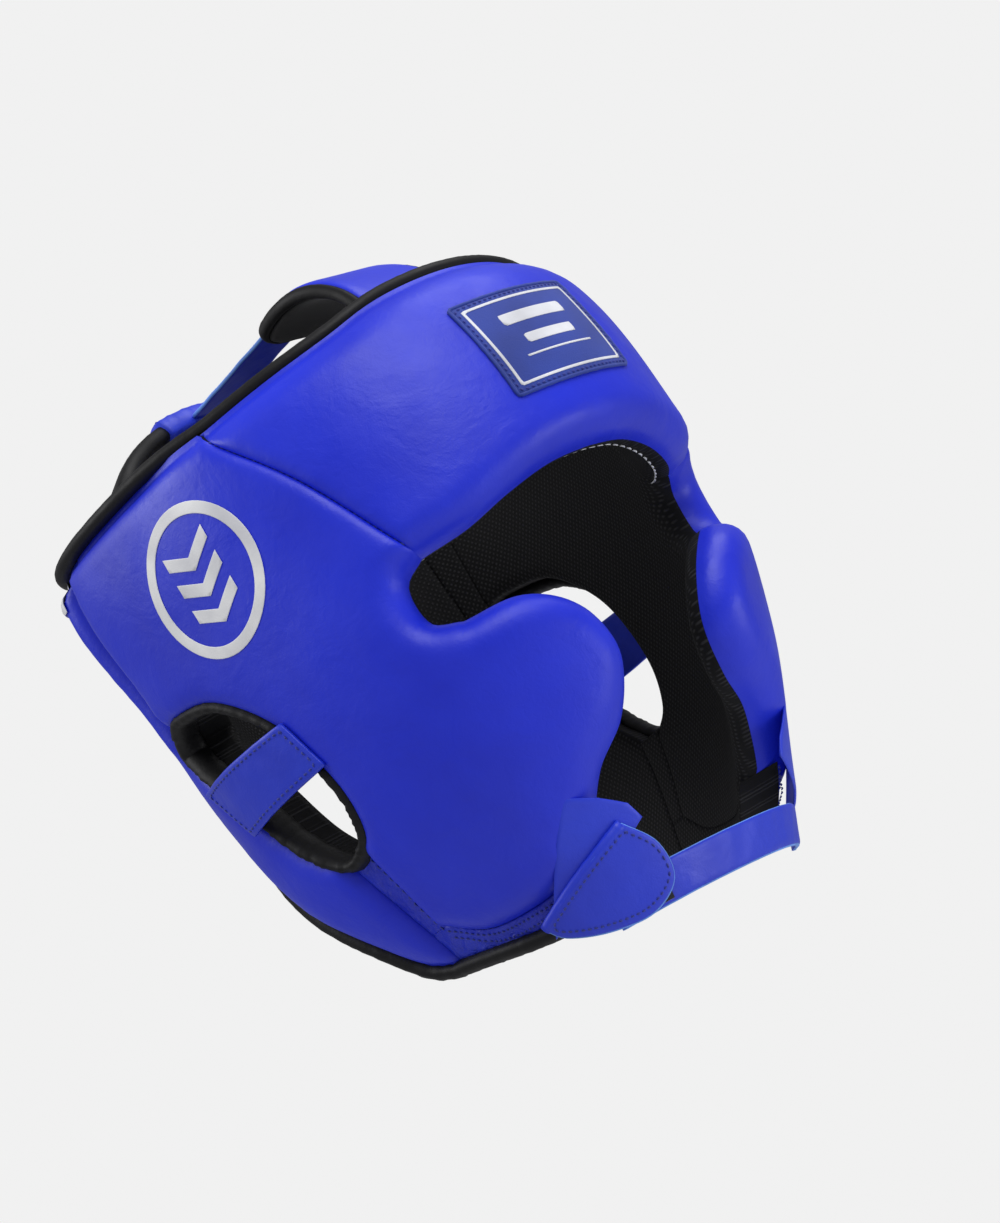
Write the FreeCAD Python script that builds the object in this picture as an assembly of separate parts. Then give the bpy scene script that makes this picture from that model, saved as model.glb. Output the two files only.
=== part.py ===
"""Boxing headgear: padded leather shell, rear closure flap, crown strap and chin straps.

Frame: +Z up, the face looks along -Y, the wearer's right is -X. Millimetres.
Angles round the head are measured from the front (-Y), towards the wearer's right.
"""
import FreeCAD, Part
import math
import os

V = FreeCAD.Vector

# ---- driving dimensions ------------------------------------------------------------
# Outer surface: height, half width, front depth, rear depth, and how square the sections
# are in front and behind.
LEVELS = (
    (-8, 70, 68, 88, 2.35, 3.0),
    (30, 84, 84, 100, 2.35, 3.0),
    (80, 102, 106, 113, 2.35, 3.0),
    (130, 110, 122, 117, 2.35, 3.0),
    (190, 113.5, 131, 120, 2.0, 3.4),
    (240, 113.5, 122.5, 124.5, 1.95, 4.2),
    (292, 104, 96, 123, 1.95, 4.2),
)
SECTION_POINTS = 48

COVER = 2.0            # leather cover
PAD = 25.0             # whole wall: cover, foam and lining
LAYER_GAP = 0.3
BIND_IN, BIND_OUT = 8.0, 14.0   # the edge binding, measured inwards from the outer surface
BIND_HEIGHT = 6.0
EAR_BIND = 4.5

TOP_RIM = ((140, 257), (60, 258), (-10, 257), (-40, 256), (-84, 260), (-104, 267), (-140, 275))
BROW = ((0, 174), (11, 173), (22, 169), (33, 164), (44, 163))
EYE_END = ((44, 163), (49.5, 156), (49.2, 140), (43, 133.5))
CHEEK = ((43, 133.5), (30, 131), (20, 117), (15.8, 95), (21, 74), (31, 61), (38, 48))
JAW_FRONT = ((38, 48), (50, 31), (62, 14), (67, -12))
FOREHEAD_SEAM = ((78, 300), (73.6, 256), (57.4, 215), (45.7, 165.5), (40, 140))
REAR_SEAM = ((130, 300), (132, 176), (118, 130), (99.5, 86), (98.5, 41), (98, -20))
WING_LOWER_EDGE = ((152, 150), (143, 125), (135, 96), (129, 71), (121, 48.6), (113, 29.3))
JAW_LOWER_EDGE = ((50, 28), (10, 21), (-32, 13.5), (-60, 11), (-90, 10))   # y, z
EAR_HOLE = ((124, 176), (107, 167), (94, 142), (88.5, 110), (90.5, 89), (103, 84), (112, 103),
            (122, 133), (132.5, 161))
EAR_STRAP = ((90.3, 141.3), (86.3, 117.2), (118.2, 114.8), (126.6, 143.1))

WING_EDGE_X = 59.0
CLOSURE_X = 58.0
CLOSURE_LOW, CLOSURE_HIGH = 150.0, 254.0
CLOSURE_CORNER = 9.0
CLOSURE_PAD = 18.0

LABEL_GAP = 0.15       # thread lifts the labels off the leather
FOREHEAD_LABEL = (65.0, 47.0, 221.0)     # width, height, middle height
REAR_LABEL = (80.0, 66.0, 202.0)
EMBLEM_RADIUS = 32.0
EMBLEM_ANGLE, EMBLEM_HEIGHT = 88.0, 204.0

CHIN_COLLAR = ((44, 56), (37, 50), (31, 43), (29, 36), (38, 28), (52, 19), (66, 13))
CHIN_FLAP_ROOT = ((66, 18), (35, 37))
CHIN_FLAP_EDGE = ((35, 37), (28.5, 24), (28.5, 10), (38, 2.5), (51, 4.5), (62, 11), (66, 18))
CHIN_SOLE = 2.9        # thickness of the chin leathers
COLLAR_SOLE = 1.7      # the collar is one layer, with the long strap sewn behind it
CHIN_LOW, CHIN_HIGH = 3.0, 18.0
CHIN_FOLD_X = 0.0      # the long strap folds at the middle of the chin

CROWN_PAD_Y, CROWN_PAD_Z, CROWN_PAD_RADIUS = -24.0, 250.0, 56.0
CROWN_PAD_RUN = 30.0   # straight run down inside the forehead
CROWN_PAD_END = 66.0   # angle of its rear end above the horizontal
ARCH_BASE_X, ARCH_BASE_Y, ARCH_BASE_Z = 88.0, 66.0, 258.0
ARCH_RISE, ARCH_LEAN = 50.0, 20.0
ARCH_WIDTH, ARCH_THICK = 24.0, 9.0
ARCH_ROUNDING = 0.42    # corner radius as a part of the thickness
SLEEVE_LENGTH, SLEEVE_WALL = 58.0, 2.0
TAIL_WIDTH, TAIL_LENGTH, TAIL_THICK = 22.0, 22.0, 2.5

os.makedirs("parts", exist_ok=True)


def export(shape, name):
    shape.exportStep("parts/" + name + ".step")


def mirrored(shape):
    return shape.mirror(V(0, 0, 0), V(1, 0, 0))


def export_pair(shape, name):
    export(shape, name + "_right")
    export(mirrored(shape), name + "_left")


# ---- the padded wall as nested surfaces --------------------------------------------
def smooth(height, column):
    """One column of LEVELS at any height, by a cubic through its neighbours."""
    zs = [row[0] for row in LEVELS]
    values = [row[column] for row in LEVELS]
    height = max(zs[0], min(zs[-1], height))
    i = max(k for k in range(len(zs) - 1) if zs[k] <= height)

    def slope(k):
        lo, hi = max(k - 1, 0), min(k + 1, len(zs) - 1)
        return (values[hi] - values[lo]) / (zs[hi] - zs[lo])

    span = zs[i + 1] - zs[i]
    t = (height - zs[i]) / span
    return ((2 * t**3 - 3 * t**2 + 1) * values[i] + (t**3 - 2 * t**2 + t) * span * slope(i)
            + (3 * t**2 - 2 * t**3) * values[i + 1] + (t**3 - t**2) * span * slope(i + 1))


def on_surface(angle, height, inset=0.0):
    """The point of the wall at an angle from the front and a height."""
    s, c = math.sin(math.radians(angle)), math.cos(math.radians(angle))
    half = smooth(height, 1) - inset
    depth = smooth(height, 2 if c > 0 else 3) - inset
    power = smooth(height, 4 if c > 0 else 5)
    radius = ((abs(s) / half) ** power + (abs(c) / depth) ** power) ** (-1 / power)
    return V(-radius * s, -radius * c, height)


def filled(inset):
    """Everything inside the surface at one inset."""
    wires = []
    for row in LEVELS:
        curve = Part.BSplineCurve()
        step = 360.0 / SECTION_POINTS
        curve.interpolate([on_surface(k * step, row[0], inset) for k in range(SECTION_POINTS)],
                          PeriodicFlag=True)
        wires.append(Part.Wire(curve.toShape()))
    return Part.makeLoft(wires, True, False)


FILLED = {}


def wall(near, far):
    """The part of the wall between two insets."""
    for inset in (near, far):
        if inset not in FILLED:
            FILLED[inset] = filled(inset)
    return FILLED[near].cut(FILLED[far])


# ---- cutting tools -----------------------------------------------------------------
RIGHT_HALF = Part.makeBox(300, 600, 600, V(-300, -300, -100))
REACH = 240.0


def outline_wire(runs):
    """A closed wire from runs of points: two points are a line, more are a spline."""
    edges = []
    for run in runs:
        if len(run) == 2:
            edges.append(Part.LineSegment(run[0], run[1]).toShape())
        else:
            curve = Part.BSplineCurve()
            curve.interpolate(run)
            edges.append(curve.toShape())
    return Part.Wire(edges)


def flat(points, facing):
    """Points moved along a horizontal direction into the plane through the axis."""
    look = V(-math.sin(math.radians(facing)), -math.cos(math.radians(facing)), 0)
    return [p - look * p.dot(look) for p in points], look


def prism(runs, facing):
    """A prism running outwards from the axis at an angle, with an outline made of runs."""
    moved = [flat(run, facing)[0] for run in runs]
    look = flat([], facing)[1]
    return Part.Face(outline_wire(moved)).extrude(look * REACH)


def loop_prism(points, facing, grow=0.0):
    """A prism whose outline is one closed smooth curve, grown or shrunk by an amount."""
    moved, look = flat(points, facing)
    count = len(moved)
    outward = [look.cross(moved[(k + 1) % count] - moved[k - 1]).normalize() for k in range(count)]
    curve = Part.BSplineCurve()
    curve.interpolate([p + side * grow for p, side in zip(moved, outward)], PeriodicFlag=True)
    return Part.Face(Part.Wire(curve.toShape())).extrude(look * REACH)


def side_prism(points, far_points=()):
    """A prism across the whole width, from y, z points, with a smooth leading run."""
    run = [V(-REACH, y, z) for y, z in points]
    ends = [run[-1]] + [V(-REACH, y, z) for y, z in far_points] + [run[0]]
    runs = [run] + [[ends[k], ends[k + 1]] for k in range(len(ends) - 1)]
    return Part.Face(outline_wire(runs)).extrude(V(2 * REACH, 0, 0))


def surface_run(points, lift=0.0):
    return [on_surface(angle, height + lift) for angle, height in points]


def closed_by(run, corners):
    """A run of points closed by straight edges through corner points."""
    ends = [run[-1]] + list(corners) + [run[0]]
    return [run] + [[ends[k], ends[k + 1]] for k in range(len(ends) - 1)]


def above_rim(lift):
    points = [(y, z + lift) for y, z in TOP_RIM]
    return side_prism(points, ((points[-1][0], 400), (points[0][0], 400)))


def below_jaw(lift):
    """Everything under the lower edge of the wearer's right side."""
    rear = surface_run(WING_LOWER_EDGE, lift)
    top = on_surface(180, WING_LOWER_EDGE[0][1] + lift)
    top.y += 60
    floor = [V(rear[-1].x, rear[-1].y, -90), V(top.x, top.y, -90), top]
    wing = prism(closed_by(rear, floor), 135)
    points = [(y, z + lift) for y, z in JAW_LOWER_EDGE]
    jaw = side_prism(points, ((points[-1][0], -90), (points[0][0], -90)))
    jaw = jaw.common(Part.makeBox(300, 335, 400, V(-300, -300, -100)))
    return wing.fuse(jaw).common(RIGHT_HALF)


def face_opening():
    """The eye slit, mouth gap and chin gap of one side, each cut square to its own wall."""
    brow, eye, cheek, jaw = [surface_run(run) for run in (BROW, EYE_END, CHEEK, JAW_FRONT)]

    def front(height):
        return V(0, -REACH, height)

    slit = prism([brow, eye, [eye[-1], front(eye[-1].z)], [front(eye[-1].z), front(brow[0].z)],
                  [front(brow[0].z), brow[0]]], 45)
    upper = cheek[0].z + 3
    mouth = prism(closed_by(cheek, [front(cheek[-1].z), front(upper),
                                    V(cheek[0].x, cheek[0].y, upper)]), 18)
    chin = prism(closed_by(jaw, [front(jaw[-1].z), front(jaw[0].z)]), 36)
    return slit.fuse(mouth).fuse(chin).common(RIGHT_HALF)


def forehead_region():
    seam = surface_run(FOREHEAD_SEAM)
    corners = [V(0, -REACH, 140), V(0, -REACH, 300)]
    return prism(closed_by(seam, corners), 50).common(RIGHT_HALF)


def wing_region():
    seam = surface_run(REAR_SEAM)
    corners = [V(0, REACH, -20), V(0, REACH, 300)]
    return prism(closed_by(seam, corners), 115).common(RIGHT_HALF)


REAR_GAP = Part.makeBox(2 * WING_EDGE_X, 300, 500, V(-WING_EDGE_X, 0, -100))
FACE = face_opening()
FOREHEAD = forehead_region()
WING = wing_region()
EAR = loop_prism(surface_run(EAR_HOLE), 102)
EDGE = BIND_HEIGHT - 1.0


def trimmed(near, far, lower, upper):
    """The right half of a wall layer with all its openings."""
    shape = wall(near, far).common(RIGHT_HALF)
    for tool in (REAR_GAP, FACE, below_jaw(lower), above_rim(upper)):
        shape = shape.cut(tool)
    return shape


# ---- padded panels: cover, foam and lining of each ---------------------------------
WING_CUT = Part.makeBox(2 * (WING_EDGE_X + EDGE), 300, 500, V(-WING_EDGE_X - EDGE, 0, -100))
LAYERS = {
    "cover": (0.0, COVER),
    "foam": (COVER + LAYER_GAP, PAD - COVER - LAYER_GAP),
    "lining": (PAD - COVER, PAD),
}
for layer, (near, far) in LAYERS.items():
    half = trimmed(near, far, EDGE, 0.0).cut(EAR).cut(WING_CUT)
    forehead = half.common(FOREHEAD)
    export(forehead.fuse(mirrored(forehead)).removeSplitter(), "forehead_" + layer)
    export_pair(half.cut(FOREHEAD).cut(WING), "side_" + layer)
    export_pair(half.common(WING), "wing_" + layer)

# ---- bindings ----------------------------------------------------------------------
tape = wall(BIND_IN, BIND_OUT).common(RIGHT_HALF).cut(REAR_GAP)
rim = tape.common(above_rim(0.0)).cut(above_rim(BIND_HEIGHT))
export(rim.fuse(mirrored(rim)).removeSplitter(), "rim_binding")
edge_tape = tape.cut(FACE).cut(above_rim(0.0))
export_pair(edge_tape.common(below_jaw(EDGE)).cut(below_jaw(0.0)), "lower_binding")
export_pair(edge_tape.cut(below_jaw(EDGE)).common(WING_CUT), "wing_edge_binding")
ear_ring = wall(3.0, 14.0).common(RIGHT_HALF).common(EAR)
export_pair(ear_ring.cut(loop_prism(surface_run(EAR_HOLE), 102, -EAR_BIND)), "ear_binding")

# ---- leather band across each ear hole ----------------------------------------------
corners = surface_run(EAR_STRAP)
band = prism([[corners[k], corners[(k + 1) % 4]] for k in range(4)], 102)
export_pair(wall(-3.4, 0.0).common(band).common(RIGHT_HALF), "ear_strap")


# ---- labels, emblem and size tag ------------------------------------------------------
def rounded_block(half_width, low, high, corner, y_start):
    """A block along Y with rounded corners in the x, z view."""
    block = Part.makeBox(2 * half_width, 150, high - low, V(-half_width, y_start, low))
    along_y = [e for e in block.Edges
               if abs(e.tangentAt(e.FirstParameter).y) > 0.9]
    return block.makeFillet(corner, along_y)


def label_block(size, y_start):
    width, height, middle = size
    return rounded_block(width / 2, middle - height / 2, middle + height / 2, 1.5, y_start)


skin = wall(-1.2, -LABEL_GAP)
export(skin.common(label_block(FOREHEAD_LABEL, -150)), "forehead_label")
export(skin.common(label_block(REAR_LABEL, 0)), "rear_label")
middle = on_surface(EMBLEM_ANGLE, EMBLEM_HEIGHT)
disc = Part.makeCylinder(EMBLEM_RADIUS, 80, V(middle.x - 40, middle.y, middle.z), V(1, 0, 0))
export_pair(wall(-0.5, 0.0).common(disc), "side_emblem")
tag = prism([[a, b] for a, b in zip(surface_run(((136, 257), (144, 257), (144, 246), (136, 246))),
                                    surface_run(((144, 257), (144, 246), (136, 246), (136, 257))))],
            140)
export(wall(-0.8, 0.0).common(tag).common(RIGHT_HALF), "size_tag")

# ---- rear closure flap, hinged on the wearer's right wing ----------------------------
whole = rounded_block(CLOSURE_X, CLOSURE_LOW, CLOSURE_HIGH, CLOSURE_CORNER, 0)
inner = rounded_block(CLOSURE_X - EDGE, CLOSURE_LOW + EDGE, CLOSURE_HIGH - EDGE,
                      CLOSURE_CORNER - EDGE, 0)
export(wall(0.0, COVER).common(inner), "closure_cover")
export(wall(COVER + LAYER_GAP, CLOSURE_PAD - COVER - LAYER_GAP).common(inner), "closure_foam")
export(wall(CLOSURE_PAD - COVER, CLOSURE_PAD).common(inner), "closure_lining")
export(wall(4.0, 12.0).common(whole.cut(inner)), "closure_binding")
patch = Part.makeBox(44, 150, 80, V(4, 0, 162))
export(wall(CLOSURE_PAD, CLOSURE_PAD + 1.2).common(patch), "closure_loop_patch")
tab = Part.makeBox(WING_EDGE_X + EDGE - 2, 150, 84, V(2, 0, 160))
export(wall(CLOSURE_PAD + 1.6, CLOSURE_PAD + 2.8).common(patch), "wing_hook_patch")
export(wall(CLOSURE_PAD + 2.8, CLOSURE_PAD + 5.8).common(tab), "wing_tab")

# ---- chin: outer flap from the right jaw over the long strap from the left jaw -------
collar = prism(closed_by(surface_run(CHIN_COLLAR), []), 45).common(FACE)
export_pair(wall(0.0, COLLAR_SOLE).common(collar), "chin_collar")
flap_prism = prism([surface_run(CHIN_FLAP_EDGE), surface_run(CHIN_FLAP_ROOT)], 47)
export(wall(-CHIN_SOLE - 0.5, -0.5).common(flap_prism).common(RIGHT_HALF), "chin_flap")
hook_run = surface_run(((47, 16), (33, 16), (33, 6), (47, 6)))
hook_edges = [[hook_run[k], hook_run[(k + 1) % 4]] for k in range(4)]
hook_prism = prism(hook_edges, 47).common(RIGHT_HALF)
export(wall(-0.5, 0.4).common(hook_prism), "chin_hook_patch")

strap_wall = wall(1.9, 1.9 + CHIN_SOLE)
strap_box = Part.makeBox(300, 300, CHIN_HIGH - CHIN_LOW, V(CHIN_FOLD_X, -300, CHIN_LOW))
strap_left = strap_wall.common(strap_box).common(mirrored(FACE))
export(strap_left, "chin_strap")
tail_run = surface_run(((48, CHIN_HIGH), (48, CHIN_LOW)))
tail_corners = [V(0, -REACH, CHIN_LOW), V(0, -REACH, CHIN_HIGH)]
tail_prism = prism(closed_by(tail_run, tail_corners), 30)
tail_half = Part.makeBox(300, 300, 100, V(-300.3, -300, -20))
export(strap_wall.common(tail_prism).common(tail_half), "chin_strap_tail")
loop_run = surface_run(((46, 17), (30, 17), (30, 4), (46, 4)))
loop_edges = [[loop_run[k], loop_run[(k + 1) % 4]] for k in range(4)]
export(wall(0.9, 1.9).common(prism(loop_edges, 40)).common(RIGHT_HALF), "chin_loop_patch")


# ---- crown pad -------------------------------------------------------------------------
def crown_layer(near, far):
    """A strip of the crown pad's side profile between two insets, across its width."""
    start, end = math.radians(CROWN_PAD_END), math.radians(165)

    def at(radius, angle):
        return V(-60, CROWN_PAD_Y + radius * math.cos(angle), CROWN_PAD_Z + radius * math.sin(angle))

    def arc(radius, first, last):
        return Part.Arc(at(radius, first), at(radius, (first + last) / 2), at(radius, last)).toShape()

    outer, inner_radius = CROWN_PAD_RADIUS - near, CROWN_PAD_RADIUS - far
    run = V(0, -math.sin(end), math.cos(end)) * CROWN_PAD_RUN
    a, b = at(outer, end), at(inner_radius, end)
    edges = [
        arc(outer, start, end),
        Part.LineSegment(a, a + run).toShape(),
        Part.LineSegment(a + run, b + run).toShape(),
        Part.LineSegment(b + run, b).toShape(),
        arc(inner_radius, end, start),
        Part.LineSegment(at(inner_radius, start), at(outer, start)).toShape(),
    ]
    strip = Part.Face(Part.Wire(edges)).extrude(V(120, 0, 0))
    return strip


def taper(margin):
    """The pad's outline in the x, z view: wide inside the forehead, narrow on top."""
    wide, narrow = 32 - margin, 23 - margin
    points = [V(-wide, -150, 225), V(wide, -150, 225), V(narrow, -150, 315), V(-narrow, -150, 315)]
    return Part.Face(Part.makePolygon(points + points[:1])).extrude(V(0, 300, 0))


PIPE = 3.0
export(crown_layer(0.0, 1.6).common(taper(PIPE)), "crown_pad_cover")
export(crown_layer(1.9, 6.6).common(taper(PIPE)), "crown_pad_foam")
export(crown_layer(6.9, 8.6).common(taper(PIPE)), "crown_pad_mesh")
piping = crown_layer(1.0, 7.6).common(taper(0).cut(taper(PIPE)))
export(piping, "crown_pad_piping")
anchor = Part.makeBox(56, 30, 7, V(-28, -108, 237))
anchor = anchor.cut(crown_layer(-0.1, 8.7)).common(wall(PAD, PAD + 20))
anchor = max(anchor.Solids, key=lambda s: s.Volume)
export(anchor, "crown_anchor")

# ---- crown arch with its sleeve, strap and tail ---------------------------------------
arch_radius = (ARCH_BASE_X**2 + ARCH_RISE**2) / (2 * ARCH_RISE)
sweep = math.degrees(math.asin(ARCH_BASE_X / arch_radius))


def arch_piece(width, thick, half_angle, low=0.0):
    """A length of the arch: a strap section with rounded corners turned about a Y axis."""
    y, z = width / 2, arch_radius - low
    points = [V(0, -y, z - thick), V(0, y, z - thick), V(0, y, z), V(0, -y, z), V(0, -y, z - thick)]
    solid = Part.Face(Part.makePolygon(points)).revolve(V(0, 0, 0), V(0, 1, 0), 2 * half_angle)
    solid.rotate(V(0, 0, 0), V(0, 1, 0), -half_angle)
    long_edges = [e for e in solid.Edges if isinstance(e.Curve, Part.Circle)]
    return solid.makeFillet(min(width, thick) * ARCH_ROUNDING, long_edges)


def placed(solid):
    """From the arch's own upright frame, axis at the origin, to its leaning place."""
    moved = solid.copy()
    moved.translate(V(0, 0, ARCH_RISE - arch_radius))
    moved.rotate(V(0, 0, 0), V(1, 0, 0), -ARCH_LEAN)
    moved.translate(V(0, ARCH_BASE_Y, ARCH_BASE_Z))
    return moved


rim_top = wall(0.0, PAD).cut(above_rim(0.0))
arch = placed(arch_piece(ARCH_WIDTH, ARCH_THICK, sweep)).cut(rim_top)
for half_rim in (rim, mirrored(rim)):
    arch = arch.cut(half_rim)
export(max(arch.Solids, key=lambda piece: piece.Volume), "crown_arch")
sleeve_angle = math.degrees(SLEEVE_LENGTH / 2 / arch_radius)
sleeve = arch_piece(ARCH_WIDTH + 2 * SLEEVE_WALL, ARCH_THICK + 2 * SLEEVE_WALL, sleeve_angle,
                    -SLEEVE_WALL)
sleeve = sleeve.cut(arch_piece(ARCH_WIDTH + 0.2, ARCH_THICK + 0.2, sweep, -0.1))
sleeve = placed(sleeve)
export(sleeve, "crown_sleeve")

# The tail hangs behind the sleeve and is pressed to a patch on the sleeve's rear face.
rear_face = ARCH_WIDTH / 2 + SLEEVE_WALL
tail_top = arch_radius + SLEEVE_WALL - 1.0
patch_box = Part.makeBox(TAIL_WIDTH - 4, 1.2, ARCH_THICK - 1.5,
                         V(2 - TAIL_WIDTH / 2, rear_face, arch_radius - ARCH_THICK + 0.5))
export(placed(patch_box), "crown_hook_patch")
tail_box = Part.makeBox(TAIL_WIDTH, TAIL_THICK, TAIL_LENGTH,
                        V(-TAIL_WIDTH / 2, rear_face + 1.6, tail_top - TAIL_LENGTH))
export(placed(tail_box), "crown_tail")

# The strap runs from the rounded end of the crown pad to the front of the sleeve.
end_angle = math.radians(CROWN_PAD_END)
pad_end = V(0, CROWN_PAD_Y + (CROWN_PAD_RADIUS - 1) * math.cos(end_angle),
            CROWN_PAD_Z + (CROWN_PAD_RADIUS - 1) * math.sin(end_angle))
front_face = V(0, -rear_face, ARCH_RISE - ARCH_THICK / 2)
lean = FreeCAD.Rotation(V(1, 0, 0), -ARCH_LEAN)
sleeve_front = lean.multVec(front_face) + V(0, ARCH_BASE_Y, ARCH_BASE_Z)
along = sleeve_front - pad_end
strap = Part.makeBox(TAIL_WIDTH, along.Length + 2.0, TAIL_THICK, V(-TAIL_WIDTH / 2, 0.1, -TAIL_THICK))
strap.rotate(V(0, 0, 0), V(1, 0, 0), math.degrees(math.atan2(along.z, along.y)))
strap.translate(pad_end)
strap = strap.cut(sleeve)
export(max(strap.Solids, key=lambda piece: piece.Volume), "crown_strap")
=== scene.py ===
"""Boxing headgear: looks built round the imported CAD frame. Millimetres here, metres in Blender.

Angles round the head are measured from the front (-Y), towards the wearer's right (-X).
"""
import math
from collections import namedtuple

import bmesh
import bpy
import numpy as np
from mathutils import Matrix, Vector, noise
from mathutils.geometry import delaunay_2d_cdt


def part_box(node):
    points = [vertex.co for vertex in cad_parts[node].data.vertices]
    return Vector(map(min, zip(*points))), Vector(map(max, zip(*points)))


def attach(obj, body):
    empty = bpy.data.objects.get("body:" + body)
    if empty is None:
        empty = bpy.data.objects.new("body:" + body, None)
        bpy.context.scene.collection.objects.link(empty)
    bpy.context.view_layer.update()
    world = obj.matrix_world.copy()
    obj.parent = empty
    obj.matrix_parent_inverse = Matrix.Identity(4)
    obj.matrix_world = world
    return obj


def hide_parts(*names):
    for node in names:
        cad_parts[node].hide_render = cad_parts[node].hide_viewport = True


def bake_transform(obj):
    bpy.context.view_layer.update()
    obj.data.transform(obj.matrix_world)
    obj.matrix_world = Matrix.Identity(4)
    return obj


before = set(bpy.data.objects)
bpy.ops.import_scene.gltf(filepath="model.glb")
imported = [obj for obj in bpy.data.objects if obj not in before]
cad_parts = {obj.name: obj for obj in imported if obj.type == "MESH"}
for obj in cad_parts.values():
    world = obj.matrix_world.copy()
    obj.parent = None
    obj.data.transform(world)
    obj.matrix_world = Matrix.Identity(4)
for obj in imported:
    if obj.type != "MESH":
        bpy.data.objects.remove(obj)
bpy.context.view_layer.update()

MM = 0.001
ARC = 1.9              # length of wall in one degree, for laying outlines flat

# ---- the wall, as in the CAD part ----
# Height, half width, front depth, rear depth, front squareness, rear squareness.
LEVELS = np.array((
    (-8, 70, 68, 88, 2.35, 3.0),
    (30, 84, 84, 100, 2.35, 3.0),
    (80, 102, 106, 113, 2.35, 3.0),
    (130, 110, 122, 117, 2.35, 3.0),
    (190, 113.5, 131, 120, 2.0, 3.4),
    (240, 113.5, 122.5, 124.5, 1.95, 4.2),
    (292, 104, 96, 123, 1.95, 4.2),
), float)
PAD = 25.0             # whole wall
MIDDLE = 14.0          # where the leather pad meets its lining, inside the wall
BIND = 11.0            # inset of the middle of the edge binding
RIM_REAR_INSET = 4.5   # the rim binding comes further out at the rear corner
JAW_INSET = 6.0
EAR_RING_INSET = 7.0
EDGE = 5.0

TOP_RIM = ((140, 257), (60, 258), (-10, 257), (-40, 256), (-84, 260), (-104, 267), (-140, 275))
JAW_LOWER_EDGE = ((50, 28), (10, 21), (-32, 13.5), (-60, 11), (-90, 10))
BROW = ((0, 174), (11, 173), (22, 169), (33, 164), (44, 163))
EYE_END = ((44, 163), (49.5, 156), (49.2, 140), (43, 133.5))
CHEEK = ((43, 133.5), (30, 131), (20, 117), (15.8, 95), (21, 74), (31, 61), (38, 48), (46, 37))
FOREHEAD_SEAM = ((44, 163), (57.4, 215), (73.7, 256.5))
CHANNEL = ((46, 37), (55, 30), (66, 28), (84, 31), (96.5, 42))
EAR_TOP_FRONT, EAR_TOP_REAR = (127.5, 174.5), (133.3, 166)
EAR_BOTTOM_FRONT, EAR_BOTTOM_REAR = (96, 81.5), (104.5, 81)
EAR_FRONT_EDGE = (EAR_TOP_FRONT, (121, 175), (107, 167), (94, 142), (88.5, 110), (90.3, 90),
                  EAR_BOTTOM_FRONT)
EAR_REAR_EDGE = (EAR_BOTTOM_REAR, (114, 100.5), (122, 133), (131.5, 157), EAR_TOP_REAR)
EAR_HOLE = EAR_FRONT_EDGE + EAR_REAR_EDGE
EAR_STRAP = ((90.3, 141.3), (86.3, 117.2), (118.2, 114.8), (126.6, 143.1))
REAR_STRIP = (127.5, 135.5)
WING_LOWER = ((149.2, 154), (143, 130), (135, 101), (129, 76), (121, 53.5), (113, 34.5),
              (106, 28.5), (103, 27.5))
CHIN_COLLAR = ((44, 56), (37, 50), (31, 43), (29, 36), (38, 28), (52, 19), (66, 13))
CHIN_FLAP_ROOT = ((66, 18), (35, 37))
CHIN_FLAP_EDGE = ((35, 37), (28.5, 24), (28.5, 10), (38, 2.5), (51, 4.5), (62, 11), (66, 18))
CHIN_SOLE = 2.9
CHIN_LOW, CHIN_HIGH = 3.0, 18.0

WING_EDGE_X = 59.0
CLOSURE_X, CLOSURE_LOW, CLOSURE_HIGH, CLOSURE_PAD = 58.0, 150.0, 254.0, 18.0
FOREHEAD_LABEL = (65.0, 47.0, 221.0)
REAR_LABEL = (80.0, 66.0, 202.0)
EMBLEM_ANGLE, EMBLEM_HEIGHT = 88.0, 206.0
EMBLEM_OUTER, EMBLEM_INNER = 32.0, 27.0
CHEVRON = (14.0, 7.0, 6.0)   # half width, rise, thickness

CROWN_Y, CROWN_Z, CROWN_RADIUS, CROWN_RUN = -24.0, 250.0, 56.0, 30.0
CROWN_FROM, CROWN_TO = 66.0, 165.0
CROWN_WIDE, CROWN_NARROW = 32.0, 23.0
ARCH_BASE_X, ARCH_BASE_Y, ARCH_BASE_Z = 88.0, 66.0, 258.0
ARCH_RISE, ARCH_LEAN = 50.0, 20.0
ARCH_WIDTH, ARCH_THICK = 24.0, 9.0
SLEEVE_LENGTH = 58.0


def radii(height):
    """Half width, front and rear depth, front and rear squareness at each height."""
    zs = LEVELS[:, 0]
    height = np.clip(height, zs[0], zs[-1])
    i = np.clip(np.searchsorted(zs, height, side="right") - 1, 0, len(zs) - 2)
    lo, hi = np.maximum(np.arange(len(zs)) - 1, 0), np.minimum(np.arange(len(zs)) + 1, len(zs) - 1)
    slopes = (LEVELS[hi] - LEVELS[lo]) / (zs[hi] - zs[lo])[:, None]
    span = (zs[i + 1] - zs[i])[:, None]
    t = ((height - zs[i]) / span[:, 0])[:, None]
    values = ((2 * t**3 - 3 * t**2 + 1) * LEVELS[i] + (t**3 - 2 * t**2 + t) * span * slopes[i]
              + (3 * t**2 - 2 * t**3) * LEVELS[i + 1] + (t**3 - t**2) * span * slopes[i + 1])
    return values[:, 1:].T


def on_wall(flat, inset):
    """Points of the wall from flat points (angle * ARC, height) and their insets."""
    angle = np.radians(flat[:, 0] / ARC)
    s, c = np.sin(angle), np.cos(angle)
    half, front, rear, front_power, rear_power = radii(flat[:, 1])
    half = half - inset
    depth = np.where(c > 0, front, rear) - inset
    power = np.where(c > 0, front_power, rear_power)
    radius = ((np.abs(s) / half) ** power + (np.abs(c) / depth) ** power) ** (-1 / power)
    return np.stack([-radius * s, -radius * c, flat[:, 1]], 1)


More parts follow.
